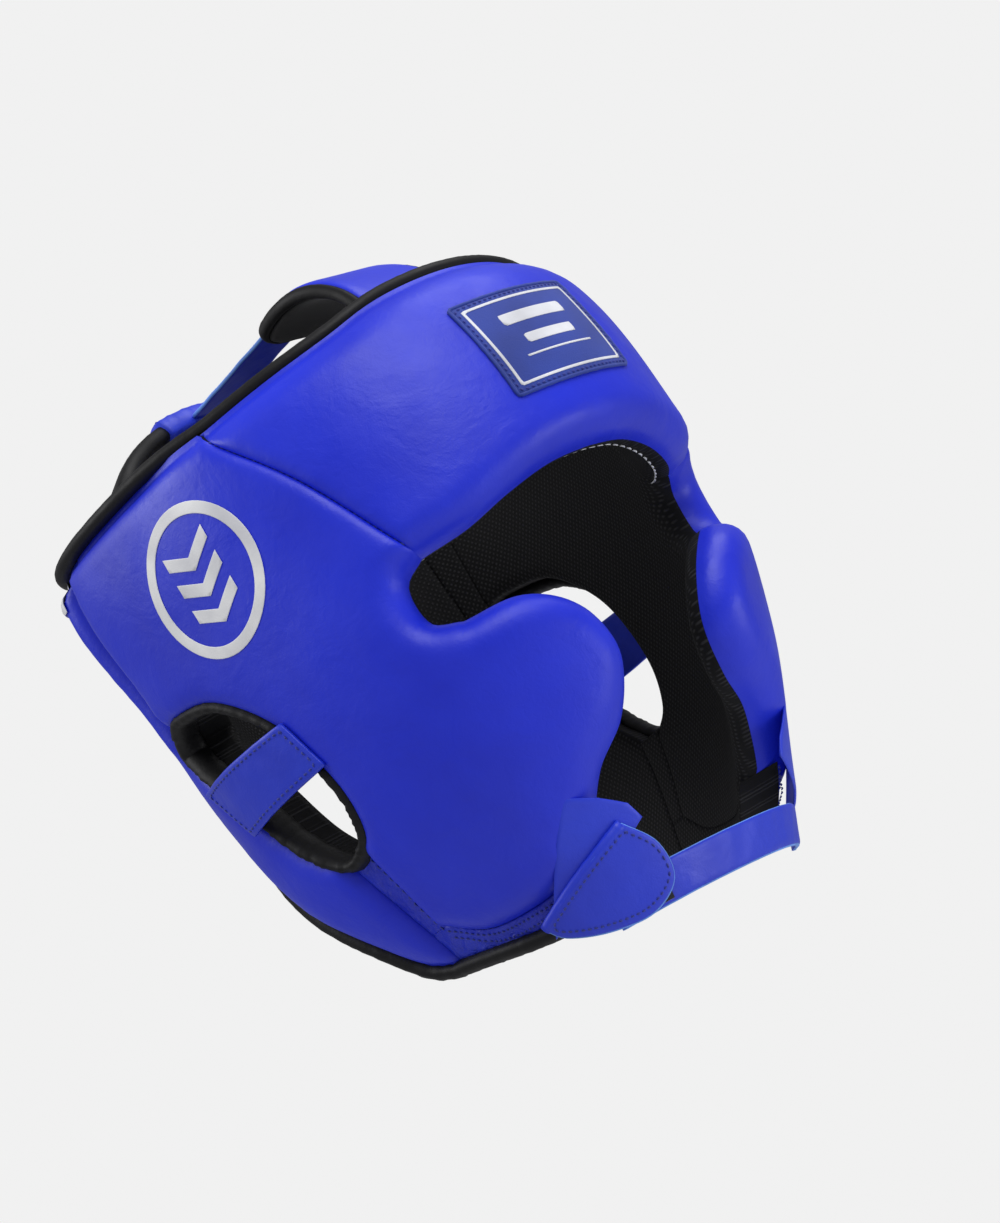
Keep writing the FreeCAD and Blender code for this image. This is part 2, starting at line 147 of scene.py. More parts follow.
def across(flat, inset, sign):
    """Points of the wall from x and z: sign -1 at the front, 1 at the rear."""
    half, front, rear, front_power, rear_power = radii(flat[:, 1])
    depth, power = (front, front_power) if sign < 0 else (rear, rear_power)
    share = np.clip(np.abs(flat[:, 0]) / (half - inset), 0, 0.999)
    return np.stack([flat[:, 0], sign * (depth - inset) * (1 - share**power) ** (1 / power),
                     flat[:, 1]], 1)


def on_rear(flat, inset):
    return across(flat, inset, 1)


def on_front(flat, inset):
    return across(flat, inset, -1)


# ---- lines laid flat ----
def spline(points, step=2.5, closed=False):
    """A smooth run through points, sampled evenly."""
    p = np.array(points, float)
    if len(p) == 2:
        fine = p[0] + np.linspace(0, 1, 60)[:, None] * (p[1] - p[0])
    else:
        ext = np.vstack([p[-1], p, p[:2]]) if closed else \
            np.vstack([2 * p[0] - p[1], p, 2 * p[-1] - p[-2]])
        t = np.linspace(0, 1, 40, endpoint=False)[:, None]
        parts = []
        for k in range(len(ext) - 3):
            a, b, c, d = ext[k:k + 4]
            parts.append(0.5 * (2 * b + (c - a) * t + (2 * a - 5 * b + 4 * c - d) * t**2
                                + (3 * b - a - 3 * c + d) * t**3))
        fine = np.vstack(parts + ([] if closed else [p[-1:]]))
    if closed:
        fine = np.vstack([fine, fine[:1]])
    return resampled(fine, step, closed)


def resampled(line, step, closed=False):
    along = np.concatenate([[0], np.cumsum(np.linalg.norm(np.diff(line, axis=0), axis=1))])
    count = max(2, int(round(along[-1] / step)) + 1)
    at = np.linspace(0, along[-1], count)
    if closed:
        at = at[:-1]
    return np.stack([np.interp(at, along, line[:, k]) for k in range(line.shape[1])], 1)


def laid(points):
    """Angle and height pairs as flat points."""
    return np.array(points, float) * (ARC, 1)


def run(points, step=2.5):
    return spline(laid(points), step)


def level_run(profile, first, last, lift=0.0, step=2.5):
    """The run at which a side profile (y, z) cuts the wall, between two angles."""
    side = spline(sorted(profile), 2.0)
    angles = np.linspace(first, last, 160)
    z = np.full(len(angles), side[:, 1].mean())
    for _ in range(6):
        y = on_wall(np.stack([angles * ARC, z], 1), 0.0)[:, 1]
        z = np.interp(y, side[:, 0], side[:, 1]) + lift
    return resampled(np.stack([angles * ARC, z], 1), step)


def upright_run(x, low, high, step=2.5):
    """The run at which a plane of constant x cuts the wearer's right rear."""
    z = np.linspace(low, high, 60)
    y = on_rear(np.stack([np.full(60, x), z], 1), 0.0)[:, 1]
    return resampled(np.stack([(180 - np.degrees(np.arctan2(x, y))) * ARC, z], 1), step)


def distance(points, line):
    """Distance from each point to an open line."""
    a, b = line[:-1], line[1:]
    out = np.empty(len(points))
    for k in range(0, len(points), 1500):
        p = points[k:k + 1500, None, :]
        t = np.clip(((p - a) * (b - a)).sum(2) / np.maximum(((b - a) ** 2).sum(1), 1e-9), 0, 1)
        out[k:k + 1500] = np.sqrt(((p - a - t[..., None] * (b - a)) ** 2).sum(2)).min(1)
    return out


def inside(points, loop):
    x, y = points[:, 0:1], points[:, 1:2]
    a, b = loop, np.roll(loop, -1, 0)
    crosses = (a[:, 1] > y) != (b[:, 1] > y)
    rise = np.where(np.abs(b[:, 1] - a[:, 1]) < 1e-12, 1e-12, b[:, 1] - a[:, 1])
    return (crosses & (x < (b[:, 0] - a[:, 0]) * (y - a[:, 1]) / rise + a[:, 0])).sum(1) % 2 == 1


RINGS = (0.3, 1.0, 2.0, 3.4, 5.2, 7.5, 10.5, 14.0)


def filled(loop, holes=(), grid=3.4):
    """Points and triangles for an outline, finer near its edge, with a map from edge points to
    outline points and the outline's segments.
    """
    loops = [loop, *holes]
    closed = [np.vstack([one, one[:1]]) for one in loops]
    to_edge = lambda p: np.min([distance(p, one) for one in closed], axis=0)
    within = lambda p: inside(p, loop) & ~np.any([inside(p, h) for h in holes] + [[False] * len(p)],
                                                axis=0)
    chosen = []
    for one in loops:
        tangent = np.roll(one, -1, 0) - np.roll(one, 1, 0)
        side = np.stack([-tangent[:, 1], tangent[:, 0]], 1)
        side /= np.maximum(np.linalg.norm(side, axis=1), 1e-9)[:, None]
        for d in RINGS:
            for sign in (1, -1):
                p = one + side * d * sign
                p = p[within(p)]
                if len(p):
                    chosen.append(p[to_edge(p) > 0.93 * d])
    lo, hi = loop.min(0), loop.max(0)
    xs, ys = np.arange(lo[0], hi[0], grid), np.arange(lo[1], hi[1], grid * 0.87)
    cells = np.array([(x + (k % 2) * grid / 2, y) for k, y in enumerate(ys) for x in xs])
    cells = cells[within(cells)]
    chosen.append(cells[to_edge(cells) > RINGS[-1] + 2.0] if len(cells) else cells)
    edge_points = np.vstack(loops)
    everything = np.vstack([edge_points] + [c for c in chosen if len(c)])
    segments, start = [], 0
    for one in loops:
        segments += [(start + k, start + (k + 1) % len(one)) for k in range(len(one))]
        start += len(one)
    points, _, faces, origin, _, _ = delaunay_2d_cdt([Vector(p) for p in everything], segments,
                                                     [], 0, 1e-4)
    points = np.array([tuple(p) for p in points])
    faces = np.array([f for f in faces if len(f) == 3])
    faces = faces[within(points[faces].mean(1))]
    is_edge = {k: min(o) for k, o in enumerate(origin) if o and min(o) < len(edge_points)}
    return points, faces, is_edge, segments


# ---- making pieces ----
Shape = namedtuple("Shape", "vertices faces uv sharp")


def shape(vertices, faces, uv, sharp=()):
    """A mesh's data with its unused vertices dropped."""
    vertices, uv = np.asarray(vertices, float), np.asarray(uv, float)
    used = np.unique(np.concatenate([np.ravel(f) for f in faces]))
    index = -np.ones(len(vertices), int)
    index[used] = np.arange(len(used))
    kept = [(index[a], index[b]) for a, b in sharp if index[a] >= 0 and index[b] >= 0]
    return Shape(vertices[used], [tuple(index[list(f)]) for f in faces], uv[used], kept)


def other_side(made):
    return made._replace(vertices=made.vertices * (-1, 1, 1))


def joined(shapes):
    """Several shapes as one."""
    start, vertices, faces, uv, sharp = 0, [], [], [], []
    for one in shapes:
        vertices.append(one.vertices)
        uv.append(one.uv)
        faces += [tuple(int(k) + start for k in f) for f in one.faces]
        sharp += [(a + start, b + start) for a, b in one.sharp]
        start += len(one.vertices)
    return Shape(np.vstack(vertices), faces, np.vstack(uv), sharp)


def add_piece(name, made, material, body="shell", stands_for=()):
    """A mesh object in metres from a shape in millimetres, riding on a body."""
    mesh = bpy.data.meshes.new(name)
    mesh.from_pydata([tuple(v) for v in made.vertices * MM], [],
                     [[int(k) for k in f] for f in made.faces])
    layer = mesh.uv_layers.new(name="UVMap")
    corners = np.array([loop.vertex_index for loop in mesh.loops])
    layer.data.foreach_set("uv", made.uv[corners].ravel())
    work = bmesh.new()
    work.from_mesh(mesh)
    bmesh.ops.recalc_face_normals(work, faces=work.faces)
    wanted = {frozenset(map(int, pair)) for pair in made.sharp}
    for edge in work.edges:
        edge.smooth = frozenset((edge.verts[0].index, edge.verts[1].index)) not in wanted
    for face in work.faces:
        face.smooth = True
    work.to_mesh(mesh)
    work.free()
    obj = bpy.data.objects.new(name, mesh)
    bpy.context.scene.collection.objects.link(obj)
    mesh.materials.append(material)
    if body:
        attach(obj, body)
    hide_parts(*stands_for)
    return obj


def add_both(name, made, material, stands_for=()):
    """The wearer's right piece and its mirror image."""
    for side in ("right", "left"):
        add_piece(f"{name}_{side}", made if side == "right" else other_side(made), material,
                  "shell", [f"{node}_{side}" for node in stands_for])


def ripple(points, size, seed=0.0):
    """Smooth noise from -1 to 1 at flat or solid points."""
    wide = np.pad(points, ((0, 0), (0, 3 - points.shape[1])))
    return np.array([noise.noise(Vector(p) / size + Vector((seed, seed * 1.7, 3.1)))
                     for p in wide])


# How a panel falls away to each kind of edge: front drop, front run, flat margin, roundness,
# back drop, back run.
KINDS = {
    "rolled": (15.5, 14.0, 0.0, 2.0, 8.5, 9.0),
    "seam": (3.6, 6.0, 0.0, 2.0, 1.2, 4.0),
    "rim": (8.0, 12.0, 3.0, 1.7, 1.5, 4.0),
    "crest": (6.0, 6.0, 3.5, 1.7, 1.5, 4.0),
    "bound": (5.0, 15.0, 1.0, 1.9, 1.5, 4.0),
    "ear": (4.0, 9.0, 0.0, 1.9, 4.0, 6.0),
    "channel": (8.0, 8.0, 0.0, 1.8, 1.0, 3.0),
    "strip": (7.0, 4.5, 0.0, 1.8, 1.0, 3.0),
    "flat": (0.6, 2.0, 0.0, 2.0, 1.0, 3.0),
    "closure": (5.0, 10.0, 0.5, 1.8, 2.5, 4.0),
    "crown": (1.5, 6.0, 0.0, 2.0, 1.2, 5.0),
}


class Panel:
    """A padded panel: leather in front, lining behind, both closed round its outline."""

    def __init__(self, edges, place=on_wall, base=0.0, pad=PAD, middle=MIDDLE, crumple=0.25,
                 pucker=0.5, grid=3.4, seed=0.0, holes=()):
        self.edges, self.place, self.base, self.pad = edges, place, base, pad
        self.middle, self.crumple, self.pucker, self.seed = middle, crumple, pucker, seed
        loop = np.vstack([line[:-1] for line, _ in edges])
        self.points, self.faces, self.is_edge, self.segments = filled(loop, holes, grid)

    def drops(self, points):
        """Front inset, back inset and nearest edge distance at flat points."""
        front, back = np.zeros(len(points)), np.zeros(len(points))
        near = np.full(len(points), 1e9)
        for kind in {k for _, k in self.edges}:
            drop, width, margin, roundness, back_drop, back_width = KINDS[kind]
            d = np.min([distance(points, line) for line, k in self.edges if k == kind], axis=0)
            t = 1 - np.clip((d - margin) / width, 0, 1)
            front += (drop * (1 - (1 - t**roundness) ** (1 / roundness))) ** 3
            t = 1 - np.clip(d / back_width, 0, 1)
            back += (back_drop * (1 - np.sqrt(1 - t**2))) ** 3
            near = np.minimum(near, d)
        front, back = np.cbrt(front), np.cbrt(back)
        fade = np.clip(near / 4, 0, 1)
        wave = ripple(points, 26, self.seed) * self.crumple * fade
        fold = ripple(points, 5.5, self.seed + 9) * self.pucker * np.exp(-near / 6) * fade
        return self.base + front + wave + fold, self.pad - back, near

    def shapes(self):
        """The leather pad and the lining, which meet inside the wall."""
        front, back, near = self.drops(self.points)
        inner = self.middle + (front - self.middle) * np.exp(-near / 5)
        inner = np.clip(np.maximum(inner, front + 0.35 * near), None, back - 0.6)
        count = len(self.points)
        edge_ids = np.array(sorted(self.is_edge))
        inner[edge_ids] = front[edge_ids]
        at = {origin: k for k, origin in self.is_edge.items()}
        rim = [(at[a], at[b]) for a, b in self.segments if a in at and b in at]
        second = np.arange(count) + count
        second[edge_ids] = edge_ids
        layers = [self.place(self.points, inset) for inset in (front, inner, back)]
        uv = np.vstack([self.points] * 2)
        pad = shape(np.vstack(layers[:2]), [*map(tuple, self.faces),
                                            *map(tuple, second[self.faces][:, ::-1])], uv, rim)
        faces = [*map(tuple, self.faces), *map(tuple, (self.faces + count)[:, ::-1])]
        faces += [(a, b, b + count, a + count) for a, b in rim]
        lining = shape(np.vstack(layers[1:]), faces, uv,
                       rim + [(a + count, b + count) for a, b in rim])
        return pad, lining


def slab(outline, low, high, place=on_wall, under=None, grid=4.0, holes=(), edge=0.4):
    """A thin closed sheet between two insets (low is the outer one), its rim softly rounded."""
    points, faces, is_edge, segments = filled(outline, holes, grid)
    base = under(points) if under else 0.0
    loops = [np.vstack([one, one[:1]]) for one in (outline, *holes)]
    near = np.min([distance(points, one) for one in loops], axis=0)
    soft = edge * (1 - np.clip(near / 1.2, 0, 1)) ** 2
    count = len(points)
    at = {origin: k for k, origin in is_edge.items()}
    faces_all = [*map(tuple, faces), *map(tuple, (faces + count)[:, ::-1])]
    faces_all += [(at[a], at[b], at[b] + count, at[a] + count) for a, b in segments
                  if a in at and b in at]
    return shape(np.vstack([place(points, base + low + soft), place(points, base + high - soft)]),
                 faces_all, np.vstack([points] * 2))


def tube(path, normals, wide, deep, closed=False, sides=12, gathers=0.0, seed=0.0, square=1.0):
    """A tube round a path; wide lies across the normal and deep along it."""
    count = len(path)
    ahead = np.roll(path, -1, 0) - np.roll(path, 1, 0)
    if not closed:
        ahead[0], ahead[-1] = path[1] - path[0], path[-1] - path[-2]
    ahead /= np.linalg.norm(ahead, axis=1)[:, None]
    normals = normals - (normals * ahead).sum(1)[:, None] * ahead
    normals /= np.linalg.norm(normals, axis=1)[:, None]
    sideways = np.cross(ahead, normals)
    along = np.concatenate([[0], np.cumsum(np.linalg.norm(np.diff(path, axis=0), axis=1))])
    turn = np.arange(sides) * 2 * math.pi / sides
    rings, uv = [], []
    for k in range(count):
        swell = 1 + gathers * noise.noise(Vector((along[k] / 1.9, seed, 0.3)))
        c, s = np.cos(turn), np.sin(turn)
        c, s = np.sign(c) * np.abs(c) ** square, np.sign(s) * np.abs(s) ** square
        rings.append(path[k] + swell * (wide * c[:, None] * sideways[k]
                                        + deep * s[:, None] * normals[k]))
        uv.append(np.stack([np.full(sides, along[k]), turn * (wide + deep) / 2], 1))
    faces = []
    for k in range(count if closed else count - 1):
        a, b = k * sides, (k + 1) % count * sides
        faces += [(a + j, a + (j + 1) % sides, b + (j + 1) % sides, b + j) for j in range(sides)]
    if not closed:
        faces += [tuple(range(sides)), tuple((count - 1) * sides + j for j in range(sides))]
    return shape(np.vstack(rings), faces, np.vstack(uv))


def wall_normals(flat, inset, place=on_wall):
    """Directions out of the wall."""
    inset = np.broadcast_to(np.asarray(inset, float), len(flat))
    return place(flat, inset - 2.0) - place(flat, inset)


def edge_tube(line, inset, wide, deep, place=on_wall, closed=False, gathers=0.05, seed=0.0):
    inset = np.broadcast_to(np.asarray(inset, float), len(line))
    return tube(place(line, inset), wall_normals(line, inset, place), wide, deep, closed,
                gathers=gathers, seed=seed)


STITCH_PITCH, STITCH_LENGTH, THREAD = 3.2, 2.2, 0.45


def stitches(lines, place=on_wall, under=None, lift=0.12, pitch=STITCH_PITCH, thread=THREAD):
    """Rows of short threads lying on a surface along flat lines."""
    made = []
    for line in lines:
        points = resampled(np.asarray(line, float), pitch)
        ahead = np.gradient(points, axis=0)
        ahead /= np.maximum(np.linalg.norm(ahead, axis=1), 1e-9)[:, None]
        stations = np.linspace(-0.5, 0.5, 5)
        flat = (points[:, None, :] + ahead[:, None, :] * stations[:, None] * STITCH_LENGTH
                * pitch / STITCH_PITCH).reshape(-1, 2)
        base = under(flat) if under else np.zeros(len(flat))
        centres = place(flat, base - lift)
        out = place(flat, base - lift - 1.0) - centres
        out /= np.linalg.norm(out, axis=1)[:, None]
        for k in range(len(points)):
            part = slice(5 * k, 5 * k + 5)
            path, normal = centres[part], out[part].mean(0)
            sideways = np.cross(path[-1] - path[0], normal)
            sideways /= max(np.linalg.norm(sideways), 1e-9)
            turn = np.arange(6) * math.pi / 3
            size = thread * np.array([0.35, 0.9, 1.0, 0.9, 0.35])
            dip = np.array([-0.35, 0.0, 0.1, 0.0, -0.35])
            rings = [path[j] + dip[j] * normal + size[j] * (np.cos(turn)[:, None] * sideways
                                                           + np.sin(turn)[:, None] * normal)
                     for j in range(5)]
            faces = [(6 * j + i, 6 * j + (i + 1) % 6, 6 * j + 6 + (i + 1) % 6, 6 * j + 6 + i)
                     for j in range(4) for i in range(6)]
            faces += [tuple(range(6)), tuple(range(24, 30))]
            made.append(Shape(np.vstack(rings), faces, np.zeros((30, 2)), ()))
    return joined(made)


# ---- materials ----
def material(name, color, roughness, **extra):
    """A procedural material to add nodes to: the material, its nodes, links and shader."""
    made = bpy.data.materials.new(name)
    made.use_nodes = True
    nodes, links = made.node_tree.nodes, made.node_tree.links
    shader = nodes["Principled BSDF"]
    shader.inputs["Base Color"].default_value = (*color, 1)
    shader.inputs["Roughness"].default_value = roughness
    for key, value in extra.items():
        shader.inputs[key.replace("_", " ")].default_value = value
    return made, nodes, links, shader


def texture(nodes, links, kind, scale, source="Object", **values):
    coords = nodes.new("ShaderNodeTexCoord")
    made = nodes.new("ShaderNodeTex" + kind)
    made.inputs["Scale"].default_value = scale
    for key, value in values.items():
        made.inputs[key].default_value = value
    links.new(coords.outputs[source], made.inputs["Vector"])
    return made


def ramp(nodes, links, value, stops):
    made = nodes.new("ShaderNodeValToRGB")
    while len(made.color_ramp.elements) < len(stops):
        made.color_ramp.elements.new(0.5)
    for element, (at, color) in zip(made.color_ramp.elements, stops):
        element.position = at
        element.color = (*color, 1) if len(color) == 3 else color
    links.new(value, made.inputs["Fac"])
    return made.outputs["Color"]


def bumped(nodes, links, shader, heights):
    """Chains bumps: pairs of a height output and (strength, distance in metres)."""
    normal = None
    for height, (strength, depth) in heights:
        bump = nodes.new("ShaderNodeBump")
        bump.inputs["Strength"].default_value = strength
        bump.inputs["Distance"].default_value = depth
        links.new(height, bump.inputs["Height"])
        if normal:
            links.new(normal, bump.inputs["Normal"])
        normal = bump.outputs["Normal"]
    links.new(normal, shader.inputs["Normal"])


def hide_material(name, light, dark, roughness, grain=0.22, shine=0.5, creased=0.2):
    """Smooth leather: fine pebbled grain, slow colour drift, softer and glossier patches."""
    made, nodes, links, shader = material(name, light, roughness)
    shader.inputs["Specular IOR Level"].default_value = shine
    drift = texture(nodes, links, "Noise", 16, Detail=4.0, Roughness=0.55)
    links.new(ramp(nodes, links, drift.outputs["Fac"], ((0.3, dark), (0.7, light))),
              shader.inputs["Base Color"])
    patches = texture(nodes, links, "Noise", 55, Detail=3.0)
    low, high = roughness - 0.05, roughness + 0.07
    links.new(ramp(nodes, links, patches.outputs["Fac"], ((0.3, (low,) * 3), (0.7, (high,) * 3))),
              shader.inputs["Roughness"])
    pebbles = texture(nodes, links, "Voronoi", 1500)
    creases = texture(nodes, links, "Noise", 260, Detail=6.0, Distortion=0.8)
    folds = texture(nodes, links, "Noise", 42, Detail=3.0, Distortion=1.6)
    bumped(nodes, links, shader, ((folds.outputs["Fac"], (0.2, 0.0018)),
                                  (creases.outputs["Fac"], (creased, 0.0005 + creased * 0.001)),
                                  (pebbles.outputs["Distance"], (grain, 0.0001))))
    return made


def cloth_material(name, color, roughness, scale=900, strength=0.5, sheen=0.15):
    """Matt cloth with a fine woven or brushed relief."""
    made, nodes, links, shader = material(name, color, roughness)
    shader.inputs["Sheen Weight"].default_value = sheen
    threads = texture(nodes, links, "Noise", scale, Detail=3.0)
    tint = texture(nodes, links, "Noise", 40, Detail=3.0)
    pale = tuple(min(1, c * 1.5 + 0.004) for c in color)
    links.new(ramp(nodes, links, tint.outputs["Fac"], ((0.3, color), (0.75, pale))),
              shader.inputs["Base Color"])
    bumped(nodes, links, shader, ((threads.outputs["Fac"], (strength, 0.0003)),))
    return made


def dotted_lining(name, pitch=3.0):
    """Black lining with staggered rows of small raised dots, laid out in flat millimetres."""
    made, nodes, links, shader = material(name, (0.004, 0.004, 0.005), 0.7)
    shader.inputs["Specular IOR Level"].default_value = 0.25
    coords = nodes.new("ShaderNodeTexCoord")
    heights = []
    for shift in (0.0, 0.5):
        move = nodes.new("ShaderNodeVectorMath")
        move.operation = "MULTIPLY_ADD"
        move.inputs[1].default_value = (1 / pitch, 1 / pitch, 0)
        move.inputs[2].default_value = (shift, shift, 0)
        links.new(coords.outputs["UV"], move.inputs[0])
        cell = nodes.new("ShaderNodeVectorMath")
        cell.operation = "FRACTION"
        links.new(move.outputs[0], cell.inputs[0])
        reach = nodes.new("ShaderNodeVectorMath")
        reach.operation = "DISTANCE"
        reach.inputs[1].default_value = (0.5, 0.5, 0)
        links.new(cell.outputs[0], reach.inputs[0])
        dome = nodes.new("ShaderNodeMapRange")
        dome.inputs["From Min"].default_value = 0.24
        dome.inputs["From Max"].default_value = 0.08
        links.new(reach.outputs["Value"], dome.inputs["Value"])
        heights.append(dome.outputs["Result"])
    both = nodes.new("ShaderNodeMath")
    both.operation = "ADD"
    links.new(heights[0], both.inputs[0])
    links.new(heights[1], both.inputs[1])
    links.new(ramp(nodes, links, both.outputs[0], ((0.0, (0.003, 0.003, 0.004)),
                                                   (1.0, (0.03, 0.03, 0.033)))),
              shader.inputs["Base Color"])
    weave = texture(nodes, links, "Noise", 1400, Detail=2.0)
    bumped(nodes, links, shader, ((weave.outputs["Fac"], (0.3, 0.0002)),
                                  (both.outputs[0], (0.7, 0.0005))))
    return made


BLUE, BLUE_DARK = (0.013, 0.033, 0.74), (0.010, 0.023, 0.60)
leather = hide_material("blue_leather", BLUE, BLUE_DARK, 0.42, shine=0.42)
crinkled_leather = hide_material("crinkled_blue_leather", (0.016, 0.050, 0.74),
                                 (0.008, 0.018, 0.50), 0.40, 0.3, creased=0.9)
strap_leather = hide_material("blue_strap_leather", (0.018, 0.050, 0.72), (0.012, 0.032, 0.58),
                              0.42, 0.3)
cut_leather = cloth_material("pale_cut_edge", (0.10, 0.24, 0.68), 0.8, 1200, 0.6)
lining_cloth = dotted_lining("black_lining")
binding_tape = hide_material("black_binding", (0.006, 0.006, 0.007), (0.003, 0.003, 0.004), 0.55,
                             0.3, 0.28)
blue_thread = cloth_material("blue_thread", (0.010, 0.020, 0.22), 0.6, 2500, 0.4)
pale_thread = cloth_material("pale_thread", (0.55, 0.56, 0.60), 0.6, 2500, 0.4)
label_cloth = cloth_material("navy_label", (0.006, 0.028, 0.24), 0.7, 1800, 0.6)
white_film = cloth_material("off_white_film", (0.66, 0.67, 0.72), 0.45, 1400, 0.25, 0.0)
hook_tape = cloth_material("hook_and_loop", (0.012, 0.012, 0.013), 0.9, 2600, 0.9, 0.4)
mesh_cloth = cloth_material("spacer_mesh", (0.012, 0.012, 0.013), 0.55, 2200, 0.5)


def build_panel(name, panel, nodes, sides=("right", "left"), body="shell", fill=0.9,
                face=leather):
    """The panel's pad and lining on each side, standing for their CAD nodes."""
    pad, lining = panel.shapes()
    parts = ((name + "_pad", pad, face, "leather_blue", ("cover", "foam"), fill),
             (name + "_inner_lining", lining, lining_cloth, "lining_black", ("lining",), 0.8))
    for label, made, look, slot, layers, full in parts:
        for side in sides:
            ending = "_" + side if side else ""
            stands_for = [f"{nodes}_{layer}{ending}" for layer in layers] if nodes else []
            add_piece(label + ending, other_side(made) if side == "left" else made, look, body,
                      stands_for)


def mirror_line(line):
    return (line * (-1, 1))[::-1]


# ---- padded panels ----
seam = run(FOREHEAD_SEAM)
rim_front = level_run(TOP_RIM, -73.7, 73.7)
brow = run(BROW)
forehead = Panel([
    (mirror_line(brow), "rolled"), (brow, "rolled"), (seam, "seam"),
    (rim_front[::-1], "rim"), (mirror_line(seam), "seam"),
], seed=1.0)
build_panel("forehead", forehead, "forehead", ("",))

ear_front, ear_rear = run(EAR_FRONT_EDGE), run(EAR_REAR_EDGE)
rim_side = level_run(TOP_RIM, 73.7, REAR_STRIP[0])
rim_strip = level_run(TOP_RIM, *REAR_STRIP)
WING_REAR_X = WING_EDGE_X + EDGE
wing_corner = upright_run(WING_REAR_X, 154, 257)
rim_wing = level_run(TOP_RIM, REAR_STRIP[1], wing_corner[-1][0] / ARC)
side_rear = spline([rim_side[-1], laid([(127.5, 215)])[0], laid([EAR_TOP_FRONT])[0]])
lower_front = run((EAR_BOTTOM_FRONT, (95.8, 62), (96.5, 42)))
side = Panel([
    (seam, "seam"), (rim_side, "crest"), (side_rear, "strip"), (ear_front, "ear"),
    (lower_front, "channel"), (run(CHANNEL)[::-1], "channel"), (run(CHEEK)[::-1], "rolled"),
    (run(EYE_END)[::-1], "rolled"),
], seed=2.0)
build_panel("side", side, "side")

wing_front = spline([laid([EAR_TOP_REAR])[0], laid([(135.3, 215)])[0], rim_wing[0]])
wing = Panel([
    (wing_front, "strip"), (rim_wing, "crest"), (wing_corner[::-1], "bound"),
    (run(((wing_corner[0][0] / ARC, 154),) + WING_LOWER[1:]), "bound"),
    (run(((103, 27.5), (103.3, 55), EAR_BOTTOM_REAR)), "channel"), (ear_rear, "ear"),
], seed=3.0)
build_panel("wing", wing, "wing")

STRIP_INSET = 6.2
rear_strip = Panel([
    (side_rear[::-1], "flat"), (rim_strip, "flat"), (wing_front[::-1], "flat"),
    (spline([laid([EAR_TOP_REAR])[0], laid([EAR_TOP_FRONT])[0]]), "flat"),
], base=STRIP_INSET, crumple=1.3, pucker=1.6, grid=2.0, seed=4.0)
build_panel("rear_seam_strip", rear_strip, None, face=crinkled_leather)

band_low = level_run(JAW_LOWER_EDGE, 63, 103, EDGE)
band = Panel([
    (run(CHANNEL), "flat"), (spline([laid([(96.5, 42)])[0], laid([(103, 42)])[0]]), "flat"),
    (spline([laid([(103, 42)])[0], band_low[-1]]), "flat"), (band_low[::-1], "flat"),
    (spline([band_low[0], *laid(((57, 23), (50, 31), (46, 37)))]), "flat"),
], base=6.0, crumple=1.3, pucker=1.6, grid=2.0, seed=5.0)
build_panel("jaw_band", band, None, face=crinkled_leather)

lower_strip = Panel([
    (lower_front, "flat"), (spline([laid([(96.5, 42)])[0], laid([(103, 42)])[0]]), "flat"),
    (run(((103, 42), (103.3, 60), EAR_BOTTOM_REAR)), "flat"),
    (spline([laid([EAR_BOTTOM_REAR])[0], laid([EAR_BOTTOM_FRONT])[0]]), "flat"),
], base=6.0, crumple=1.3, pucker=1.6, grid=2.0, seed=6.0)
build_panel("lower_seam_strip", lower_strip, None, face=crinkled_leather)


# ---- rear closure ----
def rounded_outline(half, low, high, corner, step=2.5):
    points = []
    for cx, cz, start in ((half - corner, low + corner, -90), (half - corner, high - corner, 0),
                          (corner - half, high - corner, 90), (corner - half, low + corner, 180)):
        for turn in range(0, 91, 15):
            angle = math.radians(start + turn)
            points.append((cx + corner * math.cos(angle), cz + corner * math.sin(angle)))
    return resampled(np.array(points + points[:1]), step, True)


closure_loop = rounded_outline(CLOSURE_X - EDGE, CLOSURE_LOW + EDGE, CLOSURE_HIGH - EDGE, 5.0)
closure = Panel([(np.vstack([closure_loop, closure_loop[:1]]), "closure")], on_rear,
                pad=CLOSURE_PAD, middle=10.0, crumple=0.45, seed=7.0)
build_panel("closure", closure, "closure", ("",), "rear_closure")
closure_path = rounded_outline(CLOSURE_X - 2.7, CLOSURE_LOW + 2.7, CLOSURE_HIGH - 2.7, 7.0)
add_piece("closure_edge_binding", edge_tube(closure_path, 8.0, 2.7, 4.4, on_rear, True, 0.04),
          binding_tape, "rear_closure", ["closure_binding"])

# ---- bindings ----
rim_path = level_run(TOP_RIM, -149.5, 149.5, 2.4)
RIM_TURNS, RIM_TURN_SPAN = 70.0, 30.0     # angles over which the binding moves outwards
outwards = np.clip((np.abs(rim_path[:, 0]) / ARC - RIM_TURNS) / RIM_TURN_SPAN, 0, 1)
rim_inset = BIND - (BIND - RIM_REAR_INSET) * outwards**2 * (3 - 2 * outwards)
add_piece("top_rim_binding", edge_tube(rim_path, rim_inset, 3.4, 4.0, gathers=0.04),
          binding_tape, "shell", ["rim_binding"])
wing_path = upright_run(WING_EDGE_X + 2.7, 152, 257)[::-1]
add_both("wing_rear_binding", edge_tube(wing_path, BIND, 2.9, 3.4, gathers=0.04), binding_tape,
         ["wing_edge_binding"])
wing_low = run(((151.4, 150), (144.5, 127.5), (136.5, 98.5), (130.5, 73.5), (122.5, 51),
                (114.5, 32), (106, 25.5)))
jaw_low = level_run(JAW_LOWER_EDGE, 103, 62, 2.6)
low_path = resampled(np.vstack([wing_low, jaw_low]), 2.5)
add_both("jaw_edge_binding", edge_tube(low_path, JAW_INSET, 3.6, 4.2, gathers=0.08, seed=5.0),
         binding_tape, ["lower_binding"])
hole_path = spline(laid(EAR_HOLE), 1.6, True)
centre = hole_path.mean(0)
inwards = centre - hole_path
